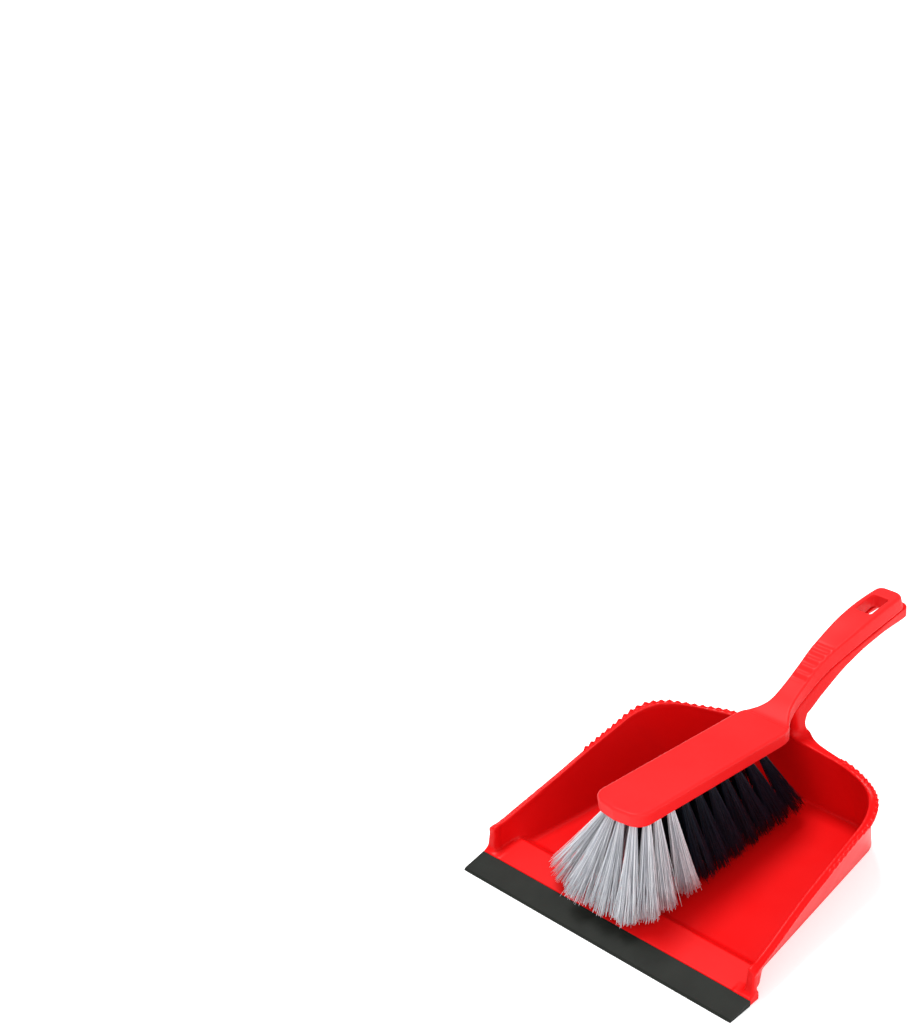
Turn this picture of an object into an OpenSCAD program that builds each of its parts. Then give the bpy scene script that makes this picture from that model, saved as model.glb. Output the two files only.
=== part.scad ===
// Dustpan with a rubber lip, and the hand brush that nests on its handle.
// Lengths in millimetres. The lip's edge faces -Y, both handles point to +Y, and +Z is up.

/* [Dustpan] */
// Length from the lip's edge to the end of the dustpan's handle
overall_len = 340; // [330:1:350]
// Width of the lip and of the tray's mouth
lip_w = 235; // [232:1:238]
// Depth of the rubber lip, front to back
lip_depth = 20; // [16:1:22]
// Wall thickness of the tray
wall_t = 2.3; // [1.8:0.1:2.8]
// Thickness of the tray's floor
floor_t = 2.8; // [2:0.1:3.4]
// Width of the rim that runs round the top of the walls
rim_w = 5.2; // [4:0.1:6]
// How far each comb tooth stands up from the rim
tooth_h = 1.6; // [0.6:0.1:2.4]
// Thickness of a comb tooth, across the rim
tooth_t = 1.6; // [1:0.1:2.2]

/* [Brush] */
// Thickness of the brush block
block_t = 10.5; // [9.5:0.5:12]
// Thickness of the brush handle
grip_t = 10.5; // [9:0.5:12]
// Half of the block's width
block_half = 20.9; // [20:0.1:21.5]
// Diameter of a tuft where it leaves the block
tuft_root_d = 4.5; // [3.5:0.1:4.8]
// Diameter of a tuft at its tips
tuft_tip_d = 10.5; // [8:0.5:11.5]
// Diameter at the tips of the three tufts that fan out to the front left
fan_tip_d = 15; // [10:0.5:16]
// Spacing of the tuft holes along the block
tuft_pitch = 13.3; // [12.8:0.1:13.6]

/* [Fit] */
// Gap between the brush handle and the dustpan's handle under it
nest_gap = 0.5; // [0.3:0.1:1.5]
// Gap round a tuft in its hole
hole_gap = 0.15; // [0.1:0.05:0.3]

/* [Hidden] */
$fn = 48;
slack = 0.02;
pan_red = [0.90, 0.06, 0.06];
stock_red = [0.95, 0.10, 0.09];
lip_grey = [0.20, 0.21, 0.19];
grey_fibre = [0.75, 0.75, 0.79];
black_fibre = [0.06, 0.07, 0.12];
steel = [0.72, 0.73, 0.75];

// ---- Curves -----------------------------------------------------------------------------

// Point at fraction t of the stretch that follows point i of a smooth curve through p
function spline(p, i, t) = let (
    p0 = p[max(i - 1, 0)],
    p1 = p[i],
    p2 = p[i + 1],
    p3 = p[min(i + 2, len(p) - 1)]
) (2 * p1 + (p2 - p0) * t + (2 * p0 - 5 * p1 + 4 * p2 - p3) * t * t
    + (3 * p1 - p0 - 3 * p2 + p3) * t * t * t) / 2;

// The whole curve, with n steps to each stretch
function smooth(p, n) = concat(
    [for (i = [0 : len(p) - 2]) for (k = [0 : n - 1]) spline(p, i, k / n)],
    [p[len(p) - 1]]
);

function reversed(p) = [for (i = [len(p) - 1 : -1 : 0]) p[i]];

// An outline that is the same on both sides of X = 0, from its right half
function both_sides(half) = concat(half, [for (q = reversed(half)) if (q[0] > 0) [-q[0], q[1]]]);

// An arc's points, from angle a0 to a1, where 0 points to +X
function arc(centre, r, a0, a1, n) =
    [for (k = [0 : n]) let (a = a0 + (a1 - a0) * k / n) centre + r * [cos(a), sin(a)]];

module profile_across(half_w) {
    // Extrudes a YZ outline along X, to half_w on each side
    rotate([90, 0, 90]) translate([0, 0, -half_w]) linear_extrude(2 * half_w) children();
}

module in_row_frame() {
    translate([0, -overall_len / 2, 0]) children();
}

// ---- Dustpan ----------------------------------------------------------------------------

// Right half of the rim's inner edge, from the mouth to the middle of the rear wall
rim_half = [
    [111.7, 27, 22.4], [110.4, 42, 24.8], [106.8, 80, 34], [103.8, 120, 42.8],
    [101.6, 145, 47.6], [98, 164, 51.2], [91.8, 178, 53], [83.5, 189.5, 52],
    [73.5, 198.6, 49], [61, 204.3, 47], [44, 206.7, 46.5], [22, 207, 46.5], [0, 207, 46.5],
];
// Steps along each stretch, and the stretches that carry the comb's teeth
rim_steps = [2, 3, 4, 10, 8, 6, 6, 6, 6, 3, 2, 2];
rear_rim = rim_half[len(rim_half) - 1];
first_toothed = 3;
last_toothed = 8;
flange_t = 3;
mouth_y = lip_depth;
wall_y = rim_half[0][1];
ramp_start_z = 4.5;
crest_y = 44;
crest_z = 7.6;
step_foot_y = 52;
tongue_len = 9;
tongue_z = [0.9, 2.1];
ramp_end_x = 101;
// Foot of the side wall where it starts, the angle at which the two walls close in, and their lean
foot_x = 105.5;
toe_in = 7.4;
lean = 16;

// Direction of the rim's inner edge in plan, at fraction t of the stretch that follows point i
function rim_run(i, t) = let (
    step = 0.02,
    run = spline(rim_half, i, t + step) - spline(rim_half, i, t)
) [run[0], run[1]] / norm([run[0], run[1]]);

function rim_angle(i, t) = atan2(rim_run(i, t)[1], rim_run(i, t)[0]);

// Plan of the rim's inner edge moved outward by d
function rim_plan(d) = both_sides(concat(
    [for (i = [0 : len(rim_steps) - 1]) for (k = [0 : rim_steps[i] - 1]) let (
        t = k / rim_steps[i],
        here = spline(rim_half, i, t),
        run = rim_run(i, t)
    ) [here[0] + run[1] * d, here[1] - run[0] * d]],
    [[0, rear_rim[1] + d]]
));

// Comb for cleaning the bristles: teeth that stand up along the rim's outer edge
module comb() {
    root = 2;
    half = 2.2;
    tip_half = 0.3;
    edge_inset = 0.2;
    for (side = [0, 1])
        mirror([side, 0, 0])
            for (i = [first_toothed : last_toothed])
                for (k = [1 : 2 : rim_steps[i] - 1])
                    translate(spline(rim_half, i, k / rim_steps[i]))
                        rotate([90, 0, rim_angle(i, k / rim_steps[i])])
                            translate([0, 0, rim_w - tooth_t - edge_inset])
                                linear_extrude(tooth_t)
                                    polygon([[-half, -root], [half, -root], [half, -0.4],
                                        [tip_half, tooth_h], [-tip_half, tooth_h], [-half, -0.4]]);
}

// Side view of the rim's top edge, run out level past the rear wall
past_rear_y = 230;
rim_line = concat([for (q = smooth(rim_half, 3)) if (q[1] < 207) [q[1], q[2]]],
    [[past_rear_y, rear_rim[2]]]);

// Everything from depth below the rim's top edge up to it
module under_rim(depth) {
    profile_across(lip_w)
        polygon(concat(rim_line, reversed([for (q = rim_line) q - [0, depth]])));
}

// Space between the two leaning side walls, narrowed by inset on each side
module between_leans(inset) {
    big = 300;
    intersection_for (side = [0, 1])
        mirror([side, 0, 0])
            translate([foot_x - inset / cos(lean), wall_y, 0])
                rotate([0, 0, toe_in])
                    rotate([0, lean, 0])
                        translate([-big, -big / 2, -big / 4])
                            cube([big, 1.5 * big, big]);
}

module tray() {
    difference() {
        union() {
            intersection() {
                linear_extrude(60) polygon(rim_plan(wall_t));
                between_leans(0);
                profile_across(lip_w) polygon(concat([[wall_y, 0]], rim_line, [[past_rear_y, 0]]));
            }
            intersection() {
                linear_extrude(60) polygon(rim_plan(rim_w));
                under_rim(flange_t);
            }
            mouth_flange();
            comb();
        }
        intersection() {
            translate([0, 0, floor_t]) linear_extrude(60) polygon(concat(
                [[-lip_w / 2, 10]], [[lip_w / 2, 10]], rim_plan(0)));
            between_leans(wall_t);
        }
    }
}

// Flange that turns the rim down the front edge of each wall
module mouth_flange() {
    top_z = rim_half[0][2] - 0.5;
    edge_x = rim_half[0][0] + rim_w - 0.2;
    for (side = [0, 1])
        mirror([side, 0, 0])
            translate([0, wall_y + wall_t, 0])
                rotate([90, 0, 0])
                    linear_extrude(wall_t)
                        polygon([[foot_x - wall_t, 0], [foot_x - wall_t, 1], [rim_half[0][0], top_z],
                            [edge_x, top_z], [edge_x, 6], [lip_w / 2 - 0.6, 0]]);
}

// Front of the floor: the strip before the walls, the ramp, and the tongue for the lip
module tray_front() {
    half = lip_w / 2 - 0.6;
    intersection() {
        profile_across(half)
            polygon([[mouth_y, 0], [mouth_y, ramp_start_z], [crest_y, crest_z],
                [step_foot_y, floor_t - 1], [step_foot_y, 0]]);
        linear_extrude(crest_z + 1)
            polygon(both_sides([[0, mouth_y - 1], [half, mouth_y - 1], [half, wall_y + wall_t / 2],
                [ramp_end_x + 5, crest_y - 6], [ramp_end_x, step_foot_y + 1], [0, step_foot_y + 1]]));
    }
    translate([3 - lip_w / 2, mouth_y - tongue_len, tongue_z[0]])
        cube([lip_w - 6, tongue_len + 1, tongue_z[1] - tongue_z[0]]);
}

// Top line of the brush handle; everything on the two handles follows it
grip_line = [
    [190, 75.2], [196, 76.6], [203, 79.3], [212, 83.6], [224, 89.2], [236, 94.9],
    [248, 99.3], [260, 102], [272, 104.2], [284, 106.3], [308, 108.6], [340, 109.3],
];
function lowered(p, dz) = [for (q = p) [q[0], q[1] - dz]];

pan_grip_top = lowered([for (q = smooth(grip_line, 3)) if (q[0] > 210) q], grip_t + nest_gap);
// Depth of the dustpan's handle along its length
pan_grip_depth = [[228, 13], [236, 12.3], [248, 10.9], [260, 8.9], [272, 7.1], [284, 6.2],
    [296, 6], [308, 6.3], [320, 7.4], [330, 8.2]];
neck_y = [207.6, 219.4];
neck_low_z = 44;

// Side view of the dustpan's neck and handle
pan_grip_side = concat(
    [[neck_y[0], neck_low_z], [neck_y[0], 66], [208.6, 71]],
    pan_grip_top,
    reversed([for (q = pan_grip_top) if (q[0] > 226) [q[0], q[1] - lookup(q[0], pan_grip_depth)]]),
    [[222.5, 64.5], [220, 60], [neck_y[1], 54], [neck_y[1], neck_low_z]]
);
// Top view of it, right half, from the rear wall to the end
pan_grip_plan = concat(
    smooth([[58, 204.5], [46, 211], [38, 213], [30, 214.3], [24, 215.6], [19, 217.4], [14.5, 219.8],
        [10.8, 223], [9.5, 228], [10.1, 236], [10.9, 248], [11.3, 260], [12.2, 272],
        [12.9, 284], [13.3, 296], [13.2, 308], [12.7, 320]], 2),
    arc([6.3, overall_len - 6], 6, 0, 90, 4)
);
// Rear view of it, right half
neck_rear_view = [[58, neck_low_z], [58, 46.8], [46, 47.5], [36, 48.2], [28.5, 49], [20, 49.9],
    [15, 50.8], [12, 52.8], [10.6, 56], [10, 62], [10.2, 70], [11, 75], [15, 80], [15, 120]];

function narrowed(p, dx) = [for (q = p) [max(q[0] - dx, 0), q[1]]];

// Hanging slots: the two ends, the half width and the corner radius
pan_slot = [300, 326, 6.2, 4];
stock_slot = [299, 322, 6.8, 2];

// Upright slot from below both handles to above them
module hanging_slot(ends) {
    low = 80;
    high = 120;
    half_w = ends[2];
    corner = ends[3];
    for (x = [corner - half_w, half_w - corner])
        for (y = [ends[0] + corner, ends[1] - corner])
            translate([x, y, low]) cylinder(r = corner, h = high - low);
    translate([-half_w, ends[0] + corner, low])
        cube([2 * half_w, ends[1] - ends[0] - 2 * corner, high - low]);
    translate([corner - half_w, ends[0], low])
        cube([2 * (half_w - corner), ends[1] - ends[0], high - low]);
}

module pan_grip() {
    shell = 2;
    difference() {
        intersection() {
            profile_across(lip_w / 2) polygon(pan_grip_side);
            linear_extrude(120) polygon(both_sides(pan_grip_plan));
            translate([0, overall_len + 1, 0])
                rotate([90, 0, 0])
                    linear_extrude(overall_len) polygon(both_sides(neck_rear_view));
        }
        // The handle is a channel, open underneath
        intersection() {
            profile_across(lip_w / 2)
                polygon(concat([for (q = lowered(pan_grip_top, shell)) if (q[0] > 228 && q[0] < 337) q],
                    [[336.5, 60], [228, 60]]));
            linear_extrude(120) polygon(both_sides(narrowed(pan_grip_plan, shell)));
        }
        hanging_slot(pan_slot);
    }
}

module dustpan_body() {
    color(pan_red) in_row_frame() {
        tray();
        tray_front();
        pan_grip();
    }
}

module rubber_lip() {
    bevel = 3;
    color(lip_grey) in_row_frame() difference() {
        profile_across(lip_w / 2)
            polygon([[0, 0], [0, 0.5], [bevel, 1.5], [mouth_y, ramp_start_z], [mouth_y, 0]]);
        translate([-lip_w / 2 + 3, mouth_y - tongue_len, tongue_z[0]])
            cube([lip_w - 6, tongue_len + 1, tongue_z[1] - tongue_z[0]]);
    }
}

// ---- Brush ------------------------------------------------------------------------------

block_front_y = 29.5;
block_rear_y = grip_line[0][0];
block_slope = 0.107;
block_rear_z = grip_line[0][1];
block_front_z = block_rear_z + block_slope * (block_rear_y - block_front_y);
corner_r = 12;
grip_end_y = overall_len - 4.5;

stock_top = concat([[block_front_y, block_front_z]],
    [for (q = smooth(grip_line, 3)) if (q[0] <= grip_end_y) q]);
stock_side = concat(stock_top,
    reversed([for (q = stock_top) [q[0], q[1] - (q[0] < 205 ? block_t : grip_t)]]));
stock_plan = concat(
    [[0, block_front_y]],
    arc([block_half - corner_r, block_front_y + corner_r], corner_r, -90, 0, 6),
    smooth([[block_half, 176], [20.3, 184], [18.1, 190], [13.4, 196], [9.9, 202], [8.3, 208],
        [7.7, 214], [7.6, 220], [8.1, 228], [8.9, 236], [10.1, 248], [10.8, 260], [12, 272],
        [12.8, 284], [13.3, 296], [13.2, 308], [12.7, 322]], 2),
    arc([5.2, grip_end_y - 7], 7, 0, 90, 5)
);

// Place of every tuft hole on the block's underside: the front arc, then the four rows
arc_holes = [for (a = [-78, -36, 0, 36, 78]) [14.2 * sin(a), 49 - 11 * cos(a)]];
outer_holes = [for (side = [-1, 1]) for (k = [0 : 8]) [side * 14.8, 55 + tuft_pitch * k]];
inner_holes = [for (side = [-1, 1]) for (k = [0 : 7]) [side * 5.2, 61 + tuft_pitch * k]];
holes = concat(arc_holes, outer_holes, inner_holes);
last_grey_y = 70;
// The front arc and the first of the outer rows are grey; the inner rows are all black
function is_grey(p) = p[1] < last_grey_y && (p[1] < 50 || abs(p[0]) > 10);

// How far a tuft's tips lie from straight below its root, across and along the brush
sweep_back = [[38, -18], [41, -21], [50, -12], [60, 0], [79, 8], [106, 13], [132, 18], [160, 25]];
left_splay = [[-14.2, -21], [-8, -19], [-5, -9], [0, -4]];
right_splay = [[0, -4], [5, 5], [14, 10]];
front_left_throw = -18;
tip_z = 10.5;
hole_depth = 7;
anchor = [5.6, 1.4, 1];

function block_under_z(y) = block_rear_z + block_slope * (block_rear_y - y) - block_t;
function splay(p) = (p[0] < 0 ? lookup(p[0], left_splay) : lookup(p[0], right_splay))
    + (p[0] < -10 && p[1] < 52 ? front_left_throw : 0);
function tuft_root(p) = [p[0], p[1], block_under_z(p[1])];
function tuft_tip(p) = [p[0] + splay(p), p[1] + lookup(p[1], sweep_back), tip_z];

// Turns +Z to point from the tuft's tips to its root, and puts the origin at the root
module along_tuft(p) {
    d = tuft_root(p) - tuft_tip(p);
    translate(tuft_root(p))
        rotate([0, acos(d[2] / norm(d)), atan2(d[1], d[0])])
            children();
}

module tuft(p) {
    run = norm(tuft_root(p) - tuft_tip(p));
    tip_d = p[1] < 50 && p[0] < 1 ? fan_tip_d : tuft_tip_d;
    color(is_grey(p) ? grey_fibre : black_fibre) in_row_frame() along_tuft(p) {
        translate([0, 0, -slack]) cylinder(d = tuft_root_d, h = hole_depth - anchor[2] + slack);
        translate([0, 0, -run]) cylinder(d1 = tip_d, d2 = tuft_root_d, h = run);
    }
}

module anchor_wires() {
    color(steel) in_row_frame()
        for (p = holes) along_tuft(p) anchor_wire();
}

module anchor_wire() {
    translate([-anchor[0] / 2, -anchor[1] / 2, hole_depth - anchor[2]]) cube(anchor);
}

module brush_stock() {
    color(stock_red) in_row_frame() difference() {
        intersection() {
            profile_across(block_half + 1) polygon(stock_side);
            linear_extrude(120) polygon(both_sides(stock_plan));
        }
        for (p = holes) along_tuft(p) {
            translate([0, 0, -4]) cylinder(d = tuft_root_d + 2 * hole_gap, h = hole_depth + 4);
            anchor_wire();
        }
        hanging_slot(stock_slot);
    }
}

// ---- Nodes ------------------------------------------------------------------------------

TUFTS = [for (k = [0 : len(holes) - 1])
    str(is_grey(holes[k]) ? "grey_tuft_" : "black_tuft_", k < 9 ? "0" : "", k + 1)];

dustpan_body();
rubber_lip();
brush_stock();
anchor_wires();
for (k = [0 : len(holes) - 1])
    tuft(holes[k]);
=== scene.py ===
"""A dustpan with its brush nested on it, on a pale floor under soft studio light."""
import math

import bpy
import numpy as np
from mathutils import Matrix, Vector


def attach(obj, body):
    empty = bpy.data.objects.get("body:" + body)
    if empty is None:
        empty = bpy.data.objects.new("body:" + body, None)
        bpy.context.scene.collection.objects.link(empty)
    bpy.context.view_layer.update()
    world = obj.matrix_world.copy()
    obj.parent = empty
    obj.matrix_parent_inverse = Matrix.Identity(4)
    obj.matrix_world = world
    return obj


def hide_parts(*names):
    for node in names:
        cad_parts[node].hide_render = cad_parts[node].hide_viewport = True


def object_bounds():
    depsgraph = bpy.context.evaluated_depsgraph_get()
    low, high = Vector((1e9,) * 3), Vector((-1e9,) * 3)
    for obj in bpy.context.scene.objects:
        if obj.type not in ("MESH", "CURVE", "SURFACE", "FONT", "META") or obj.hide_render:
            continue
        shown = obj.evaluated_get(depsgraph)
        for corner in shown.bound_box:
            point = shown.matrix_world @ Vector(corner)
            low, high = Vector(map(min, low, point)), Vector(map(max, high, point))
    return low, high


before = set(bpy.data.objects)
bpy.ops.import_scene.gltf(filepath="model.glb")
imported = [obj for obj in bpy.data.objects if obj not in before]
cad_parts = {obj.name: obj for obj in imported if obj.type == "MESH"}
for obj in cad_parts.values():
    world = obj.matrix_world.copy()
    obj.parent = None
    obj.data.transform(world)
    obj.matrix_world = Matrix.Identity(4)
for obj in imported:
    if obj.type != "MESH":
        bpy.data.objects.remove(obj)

# Shapes are worked out in millimetres from the middle of the lip's front edge, X across, Y back, Z up.
MM = 0.001
cad_low, cad_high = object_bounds()
LENGTH = (cad_high.y - cad_low.y) / MM
HALF_W = cad_high.x / MM


def to_frame(points):
    """Millimetres from the lip's front edge to metres in the row's frame."""
    return np.asarray(points, float) * MM + np.array([0.0, cad_low.y, 0.0])


def from_frame(points):
    """Metres in the row's frame to millimetres from the lip's front edge."""
    return (np.asarray(points, float) - np.array([0.0, cad_low.y, 0.0])) / MM


# ---- Camera -----------------------------------------------------------------------------------
# It stands to the object's right and front and aims past it, so that the object sits low and to
# the right in the frame, with empty room beside it and above it. It moves about PIVOT.

EYE_AZIMUTH, EYE_ELEVATION, EYE_DISTANCE = 39.37, 36.10, 1.446
AIM_AZIMUTH, AIM_ELEVATION, AIM_ROLL = 48.33, 28.53, -5.68
LENS = 72.2
PIVOT = Vector((0.0, cad_low.y + 0.165, 0.045))
VIEW_RANGE = 200.0


def direction(azimuth, elevation):
    a, e = math.radians(azimuth), math.radians(elevation)
    return Vector((math.sin(a) * math.cos(e), -math.cos(a) * math.cos(e), math.sin(e)))


def add_camera():
    camera = bpy.data.objects.new("camera", bpy.data.cameras.new("camera"))
    bpy.context.scene.collection.objects.link(camera)
    back = direction(AIM_AZIMUTH, AIM_ELEVATION)
    aim = math.radians(AIM_AZIMUTH)
    right = Vector((math.cos(aim), math.sin(aim), 0.0))
    right = Matrix.Rotation(math.radians(AIM_ROLL), 3, back) @ right
    turn = Matrix((right, back.cross(right), back)).transposed().to_4x4()
    eye = PIVOT + direction(EYE_AZIMUTH, EYE_ELEVATION) * EYE_DISTANCE
    camera.matrix_world = Matrix.Translation(eye) @ turn
    camera.data.lens = LENS
    camera.data.clip_end = VIEW_RANGE
    bpy.context.scene.camera = camera


# ---- Distance fields --------------------------------------------------------------------------
# A shape is a function of x, y and z that is negative inside it. Arrays broadcast, so that a
# pattern in two directions is worked out only once over the third.


def spline(points, steps):
    """Smooth curve through a few points, as a list of points."""
    p = np.asarray(points, float)
    p = np.vstack([p[0], p, p[-1]])
    t = np.linspace(0, 1, steps, endpoint=False)[:, None]
    out = []
    for a, b, c, d in zip(p, p[1:], p[2:], p[3:]):
        out.append((2 * b + (c - a) * t + (2 * a - 5 * b + 4 * c - d) * t**2
                    + (3 * b - a - 3 * c + d) * t**3) / 2)
    return np.vstack(out + [p[-1:]])


def rounded_and(a, b, r):
    """What is inside both, with the edge between them rounded to radius r."""
    u, v = a + r, b + r
    return np.minimum(np.maximum(u, v), 0) + np.hypot(np.maximum(u, 0), np.maximum(v, 0)) - r


def blended_or(a, b, k):
    """What is inside either, with a fillet about k wide where they meet."""
    h = np.clip(0.5 + 0.5 * (b - a) / k, 0, 1)
    return b + (a - b) * h - k * h * (1 - h)


def outline(u, v, polygon):
    """Signed distance to a closed outline in the plane of u and v."""
    polygon = np.asarray(polygon, float)
    u, v = np.broadcast_arrays(u, v)
    nearest = np.full(u.shape, np.inf)
    inside = np.zeros(u.shape, bool)
    for (au, av), (bu, bv) in zip(polygon, np.roll(polygon, -1, axis=0)):
        eu, ev = bu - au, bv - av
        t = np.clip(((u - au) * eu + (v - av) * ev) / (eu * eu + ev * ev + 1e-12), 0, 1)
        nearest = np.minimum(nearest, (u - au - eu * t) ** 2 + (v - av - ev * t) ** 2)
        if ev:
            inside ^= ((v >= av) != (v >= bv)) & (u < au + eu * (v - av) / ev)
    return np.where(inside, -1, 1) * np.sqrt(nearest)


def slot(x, y, half_w, y0, y1, corner):
    """Upright hole with rounded corners."""
    du = np.abs(x) - half_w + corner
    dv = np.abs(y - (y0 + y1) / 2) - (y1 - y0) / 2 + corner
    return np.hypot(np.maximum(du, 0), np.maximum(dv, 0)) + np.minimum(np.maximum(du, dv), 0) - corner


def bump(t, low, high, soft):
    """1 between low and high, falling smoothly to 0 over soft on either side."""
    rise = np.clip((t - low) / soft + 0.5, 0, 1)
    fall = np.clip((high - t) / soft + 0.5, 0, 1)
    return rise**2 * (3 - 2 * rise) * fall**2 * (3 - 2 * fall)


def skin(field, low, high, cell):
    """Quads on the surface where the field is zero. Both sides of X = 0 must be the same."""
    half = np.arange(0, math.ceil(high[0] / cell) + 1) * cell
    ys = np.arange(low[1], high[1] + cell, cell)
    zs = np.arange(low[2], high[2] + cell, cell)
    values = [field(half[i:i + 16, None, None], ys[None, :, None], zs[None, None, :])
              for i in range(0, len(half), 16)]
    f = np.concatenate([v.astype(np.float32) for v in values])
    f = np.concatenate([f[:0:-1], f])
    origin = np.array([-half[-1], ys[0], zs[0]])
    inside = f < 0
    shape = np.array(f.shape) - 1
    corner = [tuple(slice(o, o + s) for o, s in zip(c, shape)) for c in np.ndindex(2, 2, 2)]
    count = sum(inside[c].astype(np.int8) for c in corner)
    cells = np.argwhere((count > 0) & (count < 8))
    number = np.full(shape, -1, np.int64)
    number[tuple(cells.T)] = np.arange(len(cells))
    total, hits = np.zeros((len(cells), 3)), np.zeros(len(cells))
    for axis in range(3):
        step = np.eye(3, dtype=int)[axis]
        for start in np.ndindex(2, 2, 2):
            if start[axis]:
                continue
            a, b = cells + start, cells + start + step
            fa, fb = f[tuple(a.T)], f[tuple(b.T)]
            cross = (fa < 0) != (fb < 0)
            t = np.where(cross, fa / np.where(cross, fa - fb, 1), 0)
            total += cross[:, None] * (np.array(start) + t[:, None] * step)
            hits += cross
    verts = origin + (cells + total / hits[:, None]) * cell
    quads = []
    for axis in range(3):
        one, two = (axis + 1) % 3, (axis + 2) % 3
        head = np.take(inside, range(0, shape[axis]), axis)
        tail = np.take(inside, range(1, shape[axis] + 1), axis)
        edges = np.argwhere(head != tail)
        edges = edges[(edges[:, one] > 0) & (edges[:, two] > 0)
                      & (edges[:, one] < shape[one]) & (edges[:, two] < shape[two])]
        ring = []
        for back_one, back_two in ((1, 1), (0, 1), (0, 0), (1, 0)):
            at = edges.copy()
            at[:, one] -= back_one
            at[:, two] -= back_two
            ring.append(number[tuple(at.T)])
        ring = np.stack(ring, 1)
        outward = head[tuple(edges.T)]
        quads.append(np.where(outward[:, None], ring, ring[:, ::-1]))
    return settle(field, verts, cell), np.vstack(quads).tolist()


def slope(field, p):
    """Gradient of the field at each point, by central differences."""
    step = 0.04
    parts = []
    for axis in np.eye(3) * step:
        a, b = p + axis, p - axis
        parts.append((field(*a.T) - field(*b.T)) / (2 * step))
    return np.stack(parts, 1)


def settle(field, verts, cell):
    """Moves points near the surface onto it."""
    for _ in range(3):
        g = slope(field, verts)
        move = np.clip(field(*verts.T), -cell / 2, cell / 2)[:, None] * g
        verts = verts - move / np.maximum((g**2).sum(1), 0.2)[:, None]
    return verts


# ---- Meshes and materials ---------------------------------------------------------------------


def add_mesh(name, verts, faces, smooth=True):
    mesh = bpy.data.meshes.new(name)
    mesh.from_pydata(to_frame(verts).tolist(), [], faces)
    mesh.update()
    mesh.shade_smooth() if smooth else mesh.shade_flat()
    piece = bpy.data.objects.new(name, mesh)
    bpy.context.scene.collection.objects.link(piece)
    return piece


def material(name, rough, specular=0.5):
    """A new material, with its node tree, its shader and a link function."""
    mat = bpy.data.materials.new(name)
    mat.use_nodes = True
    tree = mat.node_tree
    shader = tree.nodes["Principled BSDF"]
    shader.inputs["Roughness"].default_value = rough
    shader.inputs["Specular IOR Level"].default_value = specular
    return mat, tree, shader


def node(tree, kind, **values):
    """A new node with these inputs set."""
    n = tree.nodes.new(kind)
    for key, value in values.items():
        n.inputs[key].default_value = value
    return n


def noise(tree, scale, detail=3.0):
    """Noise that stays with the piece. The scale is per metre."""
    where = node(tree, "ShaderNodeTexCoord")
    n = node(tree, "ShaderNodeTexNoise", Scale=scale, Detail=detail)
    tree.links.new(where.outputs["Object"], n.inputs["Vector"])
    return n


def tint(tree, shader, source, stops):
    """Colours the shader by a value, from one colour to another."""
    r = node(tree, "ShaderNodeValToRGB")
    tree.links.new(source, r.inputs["Fac"])
    for end, (at, colour) in zip(r.color_ramp.elements, stops):
        end.position = at
        end.color = (*colour, 1.0)
    tree.links.new(r.outputs["Color"], shader.inputs["Base Color"])


def add_bump(tree, shader, source, strength, depth):
    """Relief from a value. The depth is in metres."""
    b = node(tree, "ShaderNodeBump", Strength=strength, Distance=depth)
    tree.links.new(source, b.inputs["Height"])
    tree.links.new(b.outputs["Normal"], shader.inputs["Normal"])


def red_plastic(name, dark, light, rough):
    """Moulded plastic: slow colour drift, faint flow marks and a fine moulded grain."""
    mat, tree, shader = material(name, rough, 0.11)
    tint(tree, shader, noise(tree, 14.0, 4.0).outputs["Fac"], [(0.3, dark), (0.7, light)])
    shine = node(tree, "ShaderNodeMapRange", **{"To Min": rough - 0.05, "To Max": rough + 0.07})
    tree.links.new(noise(tree, 60.0, 5.0).outputs["Fac"], shine.inputs["Value"])
    tree.links.new(shine.outputs["Result"], shader.inputs["Roughness"])
    add_bump(tree, shader, noise(tree, 1400.0, 2.0).outputs["Fac"], 0.12, 0.00012)
    return mat


def lip_rubber():
    """Matt dark rubber with a slow dusty drift and a fine pebbled skin."""
    mat, tree, shader = material("lip_rubber", 0.6, 0.14)
    tint(tree, shader, noise(tree, 55.0, 6.0).outputs["Fac"],
         [(0.3, (0.009, 0.0105, 0.0085)), (0.75, (0.014, 0.016, 0.013))])
    add_bump(tree, shader, noise(tree, 900.0, 3.0).outputs["Fac"], 0.25, 0.0002)
    return mat


def fibre(name, dark, light):
    """Bristles: each one has its own shade between dark and light."""
    mat, tree, shader = material(name, 0.45, 0.3)
    each = node(tree, "ShaderNodeNewGeometry")
    tint(tree, shader, each.outputs["Random Per Island"], [(0.0, dark), (1.0, light)])
    add_bump(tree, shader, noise(tree, 2500.0, 2.0).outputs["Fac"], 0.2, 0.0001)
    return mat


# ---- Dustpan ----------------------------------------------------------------------------------

PAN_CELL = 0.9
WALL_T, FLOOR_T, RIM_W = 2.3, 2.8, 5.2
WALL_Y, REAR_Y = 26.4, 209.3
FOOT_X, TOE, LEAN = 105.5, 0.13, 0.29
RIM_FALL, FLANGE_T = 0.3, 2.2
# The rim widens a little round the rear corner, where its run is counted round a circle
RIM_WIDER = 1.6
TURN_X, TURN_Y, TURN_R = 40, 148, 60
TOOTH_PITCH, TOOTH_H, TOOTH_T = 5.5, 2.0, 1.7
TEETH = (116.0, 238.0)
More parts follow.
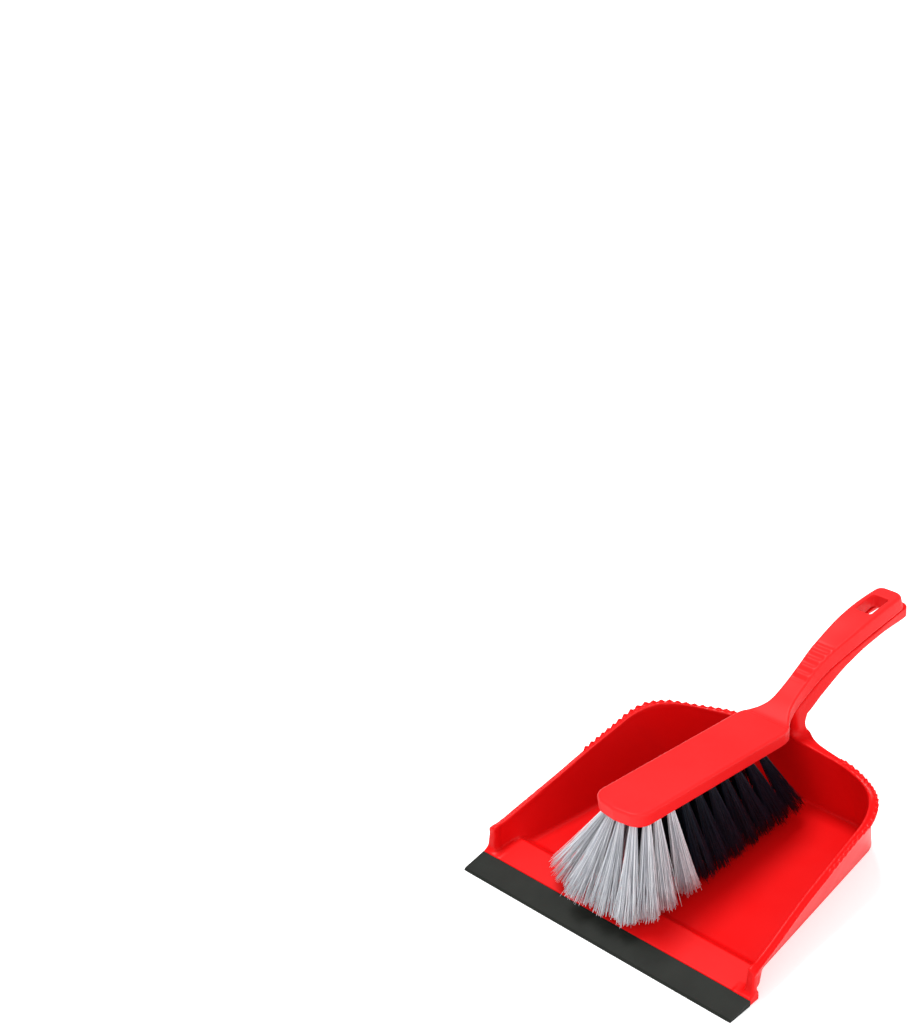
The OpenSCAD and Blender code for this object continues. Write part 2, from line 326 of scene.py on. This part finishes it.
# The turned-down front flange, and the strip behind the lip that it ends in
FRONT_T, FRONT_LEAN = 4.8, 4.5
STRIP_Y, STRIP_W, STRIP_TOP = 24, 8, 4.7
FOOT_FROM_X, FOOT_FROM_Y = 104, 20
RIM_SIDE = spline([(18, 21.4), (27, 22.6), (42, 25.0), (80, 34), (120, 42.8), (145, 47.6), (164, 51.2),
                   (178, 53), (189.5, 52), (199, 49), (205, 47.2), (212, 46.8), (240, 46.8)], 8)
GRIP = spline([(182, 75.5), (190, 75.2), (196, 76.6), (203, 79.3), (212, 83.6), (224, 89.2), (236, 94.9),
               (248, 99.3), (260, 102.0), (272, 104.2), (284, 106.3), (296, 107.7), (308, 108.6),
               (320, 108.95), (340, 109.15)], 5)
GRIP_T, NEST_GAP = 10.5, 0.5
SLOT_Y = (299.0, 322.0)


def flare_out(y, z):
    """How far the side walls swing outwards near the mouth."""
    high = np.clip(z / 22, 0, 1)
    return 2.0 * bump(y, -99, 65, 60) * high + 6.0 * bump(y, -99, 44, 16) * (1 - high)


def tray_outside(ax, y, z):
    """Distance outside the tray's outer wall face."""
    side = (ax - FOOT_X + TOE * (y - 27) - LEAN * z - flare_out(y, z)) / math.hypot(1, TOE, LEAN)
    corner = 20 + 35 * np.clip(z / 50, 0, 1)
    return rounded_and(side, y - REAR_Y, corner)


def rim_height(ax, y):
    """Top of the rim at the wall, which rises in the middle of the rear wall."""
    rise = 4.35 * np.exp(-(ax / 40) ** 2) * np.clip((y - 196) / 10, 0, 1)
    return np.interp(y, RIM_SIDE[:, 0], RIM_SIDE[:, 1]) + rise


def tray_field(ax, y, z):
    """Floor, walls, rim with its comb, and the flange down the front of each wall."""
    out = tray_outside(ax, y, z)
    fall = RIM_FALL * np.interp(ax, [15, 50], [0.1, 1.0])
    top = rim_height(ax, y) - fall * np.clip(out + WALL_T, 0, RIM_W)
    wall = rounded_and(np.maximum(out, -out - WALL_T), (z - top) * 0.95, 0.8)
    floor = np.maximum(out, z - FLOOR_T)
    bowl = blended_or(wall, floor, 2.5)
    bowl = rounded_and(bowl, np.maximum(out, WALL_Y - y), 0.5)
    bowl = rounded_and(bowl, -z, 1.5)
    # Rim flange, with its comb teeth
    around = np.arctan2(np.maximum(y - TURN_Y, 0), np.maximum(ax - TURN_X, 1e-3))
    along = np.where(y < TURN_Y, y, TURN_Y + TURN_R * around)
    reach = RIM_W - WALL_T + RIM_WIDER * bump(along, 160, 245, 30)
    saw = 1 - np.abs(2 * np.mod(along / TOOTH_PITCH, 1) - 1)
    flange = rounded_and(np.maximum(out - reach, ax - HALF_W + 0.4),
                         np.abs(z - top + FLANGE_T / 2) - FLANGE_T / 2, 0.7)
    flange = rounded_and(flange, np.maximum(-out - WALL_T, WALL_Y - y), 0.7)
    comb = np.maximum(np.abs(out - reach + TOOTH_T / 2) - TOOTH_T / 2,
                      np.maximum(TEETH[0] - along, along - TEETH[1]))
    comb = np.maximum(comb, np.maximum((z - top - TOOTH_H * saw) * 0.77, top - FLANGE_T - z))
    shell = blended_or(bowl, np.minimum(flange, comb), 1.2)
    # Front flange and strip
    edge = rim_height(ax, y) - RIM_FALL * np.clip(ax - 112, 0, RIM_W)
    lean = y - WALL_Y + FRONT_LEAN * np.clip(1 - z / 22, 0, 1)
    side = ax - HALF_W + 0.7 + 0.05 * np.clip(z - 8, 0, 20)
    front = rounded_and(np.abs(lean - FRONT_T / 2) - FRONT_T / 2, side, 1.2)
    front = rounded_and(front, np.maximum(-out - WALL_T, z - edge), 0.7)
    strip = rounded_and(np.abs(y - STRIP_Y) - STRIP_W / 2, ax - HALF_W + 0.5, 0.8)
    strip = rounded_and(strip, z - STRIP_TOP, 0.6)
    foot = blended_or(front, np.maximum(strip, FOOT_FROM_X - ax), 5.0)
    foot = np.maximum(foot, FOOT_FROM_Y - y)
    return blended_or(shell, np.maximum(foot, -z), 1.5)


RAMP = [(20, 0), (20, 4.7), (44, 7.6), (51, 2.0), (51, 0)]
RAMP_HOLLOW = [(25, -2), (25, 2.4), (43, 4.8), (47, -2)]


def ramp_field(ax, y, z):
    """Front strip and ramp, with a ribbed hollow underneath."""
    body = rounded_and(outline(y, z, RAMP), ax - HALF_W + 0.4, 0.8)
    inside_walls = np.minimum(tray_outside(ax, y, z) + 0.5, y - WALL_Y - 1.6)
    body = np.maximum(body, inside_walls)
    rib = 0.9 - np.abs(np.mod(ax + 11, 22) - 11)
    hollow = np.maximum(outline(y, z, RAMP_HOLLOW), np.maximum(ax - 96, rib))
    return np.maximum(body, -hollow)


def table(pairs):
    """Smooth lookup from a few pairs."""
    curve = spline(pairs, 6)
    return lambda v: np.interp(v, curve[:, 0], curve[:, 1])


grip_at = table(GRIP)
grip_low = table([(190, 19.8), (196, 14.8), (202, 9.9), (208, 8.1), (214, 7.6), (220, 7.8), (228, 8.3),
                  (236, 8.9), (248, 10.1), (260, 10.8), (272, 12.0), (284, 12.8), (296, 13.3),
                  (308, 13.2), (320, 12.7), (330, 12.3), (345, 12.0)])
pan_depth = table([(216, 13), (228, 13), (236, 12.3), (248, 10.9), (260, 8.9), (272, 7.1), (284, 6.2),
                   (296, 6.0), (308, 6.3), (320, 7.4), (330, 8.2), (345, 8.2)])


def pan_top(y):
    """Top of the dustpan's handle, just under the brush's."""
    return grip_at(y) - GRIP_T - NEST_GAP


TOP_Y = np.linspace(210, LENGTH, 50)
PAN_SIDE = np.vstack([
    [(207, 46.5), (207, 70)], np.stack([TOP_Y, pan_top(TOP_Y)], 1),
    np.stack([TOP_Y, pan_top(TOP_Y) - pan_depth(TOP_Y)], 1)[TOP_Y > 228][::-1],
    [(222.5, 64.5), (220, 60), (219.4, 54), (219.4, 46.5)]])
BAND = np.vstack([
    [(-99, 200), (78, 190)],
    spline([(78, 195), (68, 204), (57, 210.3), (47, 212.6), (38, 213.6), (30, 214.4),
            (24, 215.6), (19, 217.4), (14.5, 219.6), (11.5, 220.8), (8, 221.3)], 4),
    [(-99, 221.3)]])


def pan_grip_field(ax, y, z):
    """Neck and handle: a channel that is open underneath, with cross ribs."""
    side = outline(y, z, PAN_SIDE)
    depth = np.maximum(pan_top(y) - z, 0)
    wide = grip_low(y) + 0.1 * np.minimum(depth, 22) * np.clip((284 - y) / 50, 0, 1)
    end = rounded_and(ax - wide, y - LENGTH, 6.0)
    end = rounded_and(end, 208.3 - y, 6.0)
    solid = rounded_and(side, end, 0.9)
    hanging = slot(ax, y, 6.2, SLOT_Y[0] + 1, SLOT_Y[1] + 4, 4.0)
    hollow = np.maximum(np.maximum(z - pan_top(y) + 2.0, 228 - y), end + 2.0)
    rib = 0.8 - np.abs(np.mod(y - 226, 22) - 11)
    hollow = np.maximum(hollow, np.maximum(rib, -4 - hanging) * (y < SLOT_Y[0]) - 9 * (y >= SLOT_Y[0]))
    solid = np.maximum(np.maximum(solid, -hollow), -hanging)
    level = rim_height(ax, y) - 0.3 - 1.2 * np.clip((ax - 30) / 15, 0, 1)
    band = rounded_and(outline(ax, y, BAND), np.abs(z - level + 1.5) - 1.5, 0.8)
    return blended_or(solid, band, 8.0)


def pan_field(x, y, z):
    """The whole dustpan moulding, kept above the floor and inside the lip's width."""
    ax = np.abs(x)
    tray = blended_or(tray_field(ax, y, z), ramp_field(ax, y, z), 1.6)
    whole = blended_or(tray, pan_grip_field(ax, y, z), 2.0)
    inner_wall = -tray_outside(ax, y, z) - WALL_T
    whole = np.where(z > 30, np.maximum(whole, inner_wall), whole)
    return np.maximum(np.maximum(whole, -z), ax - HALF_W + 0.1)


def add_pan():
    verts, quads = skin(pan_field, (0, 18, -2), (HALF_W + 1, LENGTH + 2, 101), PAN_CELL)
    piece = add_mesh("dustpan_moulding", verts, quads)
    red = red_plastic("pan_red", (0.66, 0.0030, 0.0035), (0.70, 0.0045, 0.0050), 0.34)
    piece.data.materials.append(red)
    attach(piece, "dustpan")
    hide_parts("dustpan_body")


LIP = [(0, 0.1), (0.15, 0), (19.9, 0), (19.9, 4.5), (19.4, 4.65), (1.9, 1.75), (1.4, 1.6), (0, 0.5)]


def add_lip():
    """Extruded strip with slightly eased ends."""
    steps = 120
    verts, faces = [], []
    for i in range(steps + 1):
        x = HALF_W * (2 * i / steps - 1)
        ease = 0.25 * math.exp(-(HALF_W - abs(x)) / 1.5)
        verts += [(x, y + ease, max(z - ease, 0.0)) for y, z in LIP]
    n = len(LIP)
    for i in range(steps):
        for k in range(n):
            a, b = i * n + k, i * n + (k + 1) % n
            faces.append((a, a + n, b + n, b))
    faces.append(tuple(range(n)))
    faces.append(tuple(reversed(range(steps * n, steps * n + n))))
    piece = add_mesh("lip_strip", verts, faces, smooth=False)
    piece.data.materials.append(lip_rubber())
    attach(piece, "dustpan")
    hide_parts("rubber_lip")


# ---- Brush ------------------------------------------------------------------------------------

STOCK_CELL = 0.7
BLOCK_FRONT, BLOCK_HALF, CORNER = 29.5, 20.9, 12.0
BLOCK_SLOPE, BLOCK_Z = 0.107, 75.2
DISH, RIDGE, RIDGE_PITCH = 0.35, 0.45, 6.4
GRIP_END = LENGTH - 4.5
STOCK_PLAN = np.vstack([
    [(-60, BLOCK_FRONT + 0.2)], [(0, BLOCK_FRONT)],
    [(BLOCK_HALF - CORNER + CORNER * math.sin(a), BLOCK_FRONT + 1.4 + CORNER - CORNER * math.cos(a))
     for a in np.linspace(0.15, math.pi / 2, 9)],
    spline([(BLOCK_HALF, 176), (20.3, 184), (18.1, 190), (13.4, 196), (9.9, 202), (8.3, 208), (7.7, 214),
            (7.6, 220), (7.8, 228), (8.1, 236), (9.1, 248), (10, 260), (11.1, 272), (11.8, 284),
            (12.2, 296), (12.3, 308), (12.0, 322)], 4),
    [(4.6 + 7 * math.cos(a), GRIP_END - 7 + 7 * math.sin(a)) for a in np.linspace(0, math.pi / 2, 6)],
    [(-60, GRIP_END)]])


def stock_top(y):
    """Top of the brush: the sloping block in front, then the handle."""
    return np.where(y < 188, BLOCK_Z + BLOCK_SLOPE * (190 - y), grip_at(y))


def stock_field(x, y, z):
    """Block and handle, with a slightly dished grip, finger ridges and soft edges."""
    ax = np.abs(x)
    crown = stock_top(y)
    high = z - crown + GRIP_T / 2
    draft = np.interp(y, [180, 215, 236, 340], [-0.06, 0.0, 0.17, 0.18])
    plan = outline(ax, y, STOCK_PLAN) + draft * high
    dish = DISH * np.clip(1 - (ax / 9) ** 2, 0, 1) * bump(y, 222, 290, 24)
    ridges = RIDGE * np.cos(2 * math.pi * (y - 228) / RIDGE_PITCH)
    ridges = ridges * bump(y, 223, 257, 3) * bump(-plan, 1.5, 99, 2.5)
    top = (high - GRIP_T / 2 + (dish - ridges) * (high > 0)) * 0.93
    soft = np.interp(y, [185, 215, 270, 330], [2.0, 1.2, 1.2, 2.2])
    solid = rounded_and(top, plan, soft)
    solid = rounded_and(solid, (-high - GRIP_T / 2) * 0.95, 0.5)
    hanging = slot(ax, y, 6.8, *SLOT_Y, 2.0)
    return rounded_and(solid, -hanging, 0.4)


def add_stock():
    low, high = (0, BLOCK_FRONT - 2, 62), (BLOCK_HALF + 3, GRIP_END + 2, 112)
    verts, quads = skin(stock_field, low, high, STOCK_CELL)
    piece = add_mesh("brush_moulding", verts, quads)
    red = red_plastic("stock_red", (0.70, 0.012, 0.013), (0.74, 0.018, 0.019), 0.40)
    piece.data.materials.append(red)
    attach(piece, "brush")
    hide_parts("brush_stock")


def floor_under(y):
    """Height of the tray's floor or ramp, or of the lip."""
    return np.interp(y, [0, 20, 44, 52, 200], [1.0, 4.7, 7.6, 2.8, 2.8])


FIBRES, FIBRE_D, RINGS = 250, 0.42, 7
ROOT_R = 1.75
WILD_SHARE, WILD_SPREAD = 0.1, 0.45
# How far tips stray sideways, how much shorter the outer bristles are, and how uneven all of them
TIP_STRAY, CROWN, RAGGED = 0.55, 2.6, 1.2


def tuft_axis(name):
    """Root and tip centres of a tuft and its radius at the tip, from the CAD node's own points."""
    p = from_frame([tuple(v.co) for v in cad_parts[name].data.vertices])
    mid = p.mean(0)
    axis = np.linalg.svd(p - mid)[2][0]
    axis *= np.sign(axis[2])
    t = (p - mid) @ axis
    tip_ring = p[t < t.min() + 0.5]
    tip = tip_ring.mean(0)
    return p[t > t.max() - 0.5].mean(0), tip, np.linalg.norm(tip_ring - tip, axis=1).max()


def unit(v):
    return v / np.linalg.norm(v)


def add_tuft(name, mat, seed, fullness, extra):
    """A bundle of bristles that leaves its hole tight, fans out and ends raggedly.

    The fullness is its width at the tips and extra its length, both next to the CAD tuft's.
    """
    rng = np.random.default_rng(seed)
    root, tip, spread = tuft_axis(name)
    axis = unit(tip - root)
    across = unit(np.cross(axis, (0, 1, 0)))
    other = np.cross(axis, across)
    n = FIBRES
    r, angle = np.sqrt(rng.random(n)), rng.random(n) * 2 * math.pi
    disc = np.stack([r * np.cos(angle), r * np.sin(angle)], 1)
    wild = (rng.random(n) < WILD_SHARE)[:, None] * rng.random((n, 1))
    near = disc * ROOT_R
    far = disc * spread * fullness * (1 + WILD_SPREAD * wild) + rng.normal(0, TIP_STRAY, (n, 2))
    length = np.linalg.norm(tip - root) + extra - CROWN * r**2 + rng.normal(0, RAGGED, n)
    bow = rng.normal(0, 1.0, (n, 2)) + disc * 0.8
    path = []
    for t in np.linspace(0, 1, RINGS):
        opened = 0.2 * t + 0.8 * t**2
        offset = near * (1 - opened) + far * opened + bow * math.sin(math.pi * t) * 0.7
        sideways = across * offset[:, :1] + other * offset[:, 1:]
        path.append(root + axis * (length * t)[:, None] + sideways)
    path = np.stack(path, 1)
    # A bristle that would reach the tray's floor is shortened to end just above it
    low = floor_under(path[:, -1, 1]) + 0.5
    short = np.clip((path[:, 0, 2] - low) / (path[:, 0, 2] - path[:, -1, 2]), 0, 1)[:, None, None]
    path = path[:, :1] + (path - path[:, :1]) * short
    width = FIBRE_D / 2 * np.linspace(1, 0.7, RINGS)[None, :, None]
    tube = []
    for c in range(3):
        a = angle[:, None, None] + c * 2 * math.pi / 3
        tube.append(path + (np.cos(a) * across + np.sin(a) * other) * width)
    points = np.stack(tube, 2).reshape(-1, 3)
    ring = np.arange(RINGS - 1)[:, None] * 3 + np.arange(3)
    turn = np.arange(RINGS - 1)[:, None] * 3 + np.array([1, 2, 0])
    quads = np.stack([ring, turn, turn + 3, ring + 3], 2).reshape(-1, 4)
    start = np.arange(n)[:, None, None] * RINGS * 3
    faces = (quads + start).reshape(-1, 4).tolist()
    last = RINGS * 3 - 3
    faces += (start[:, 0] + np.array([last, last + 1, last + 2])).tolist()
    faces += (start[:, 0] + np.array([2, 1, 0])).tolist()
    piece = add_mesh("bristles_" + name, points, faces)
    piece.data.materials.append(mat)
    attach(piece, "brush")
    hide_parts(name)


def add_tufts():
    grey = fibre("grey_fibre", (0.38, 0.40, 0.45), (0.94, 0.95, 0.98))
    black = fibre("black_fibre", (0.001, 0.004, 0.008), (0.005, 0.014, 0.028))
    for seed, name in enumerate(sorted(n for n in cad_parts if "_tuft_" in n)):
        if name.startswith("grey"):
            add_tuft(name, grey, seed, 1.6, -1.2)
        else:
            add_tuft(name, black, seed, 1.5, -1.5)


# ---- Studio -----------------------------------------------------------------------------------


FLOOR_HALF, FLOOR_Z = 60.0, -0.0002
PAPER, PAPER_GLOW = 0.86, 0.45


def add_floor():
    """White paper that reaches the horizon, with a little light of its own to stay white."""
    mesh = bpy.data.meshes.new("studio_floor")
    corners = [(-1, -1), (1, -1), (1, 1), (-1, 1)]
    mesh.from_pydata([(x * FLOOR_HALF, y * FLOOR_HALF, 0) for x, y in corners], [], [(0, 1, 2, 3)])
    floor = bpy.data.objects.new("studio_floor", mesh)
    floor.location.z = FLOOR_Z
    bpy.context.scene.collection.objects.link(floor)
    mat, _, shader = material("floor_paper", 0.9, 0.1)
    shader.inputs["Base Color"].default_value = (PAPER, PAPER, PAPER, 1)
    shader.inputs["Emission Color"].default_value = (1, 1, 1, 1)
    shader.inputs["Emission Strength"].default_value = PAPER_GLOW
    mesh.materials.append(mat)


def add_light(name, azimuth, elevation, spread, power):
    """A far, soft lamp: spread is how wide it looks from the object, in degrees."""
    lamp = bpy.data.lights.new(name, "SUN")
    lamp.angle = math.radians(spread)
    lamp.energy = power
    obj = bpy.data.objects.new(name, lamp)
    back = direction(azimuth, elevation)
    obj.location = back * 2.0
    obj.rotation_mode = "QUATERNION"
    obj.rotation_quaternion = back.to_track_quat("Z", "Y")
    bpy.context.scene.collection.objects.link(obj)


def add_studio():
    add_floor()
    add_light("overhead_soft", -115, 70, 18, 2.6)
    add_light("right_fill", 75, 32, 60, 1.4)
    add_light("front_fill", 5, 34, 70, 1.0)
    world = bpy.data.worlds.new("studio")
    world.use_nodes = True
    sky = world.node_tree.nodes["Background"]
    sky.inputs["Color"].default_value = (1, 1, 1, 1)
    sky.inputs["Strength"].default_value = 0.4
    bpy.context.scene.world = world
    bpy.context.scene.view_settings.view_transform = "Standard"


def finish_anchors():
    """The hidden staples keep their CAD solids, with a drawn-wire finish."""
    mat, tree, shader = material("anchor_steel", 0.35)
    shader.inputs["Metallic"].default_value = 1.0
    tint(tree, shader, noise(tree, 800.0).outputs["Fac"],
         [(0.2, (0.42, 0.42, 0.44)), (0.8, (0.62, 0.62, 0.64))])
    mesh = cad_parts["anchor_wires"].data
    mesh.materials.clear()
    mesh.materials.append(mat)


add_camera()
add_pan()
add_lip()
add_stock()
add_tufts()
finish_anchors()
add_studio()
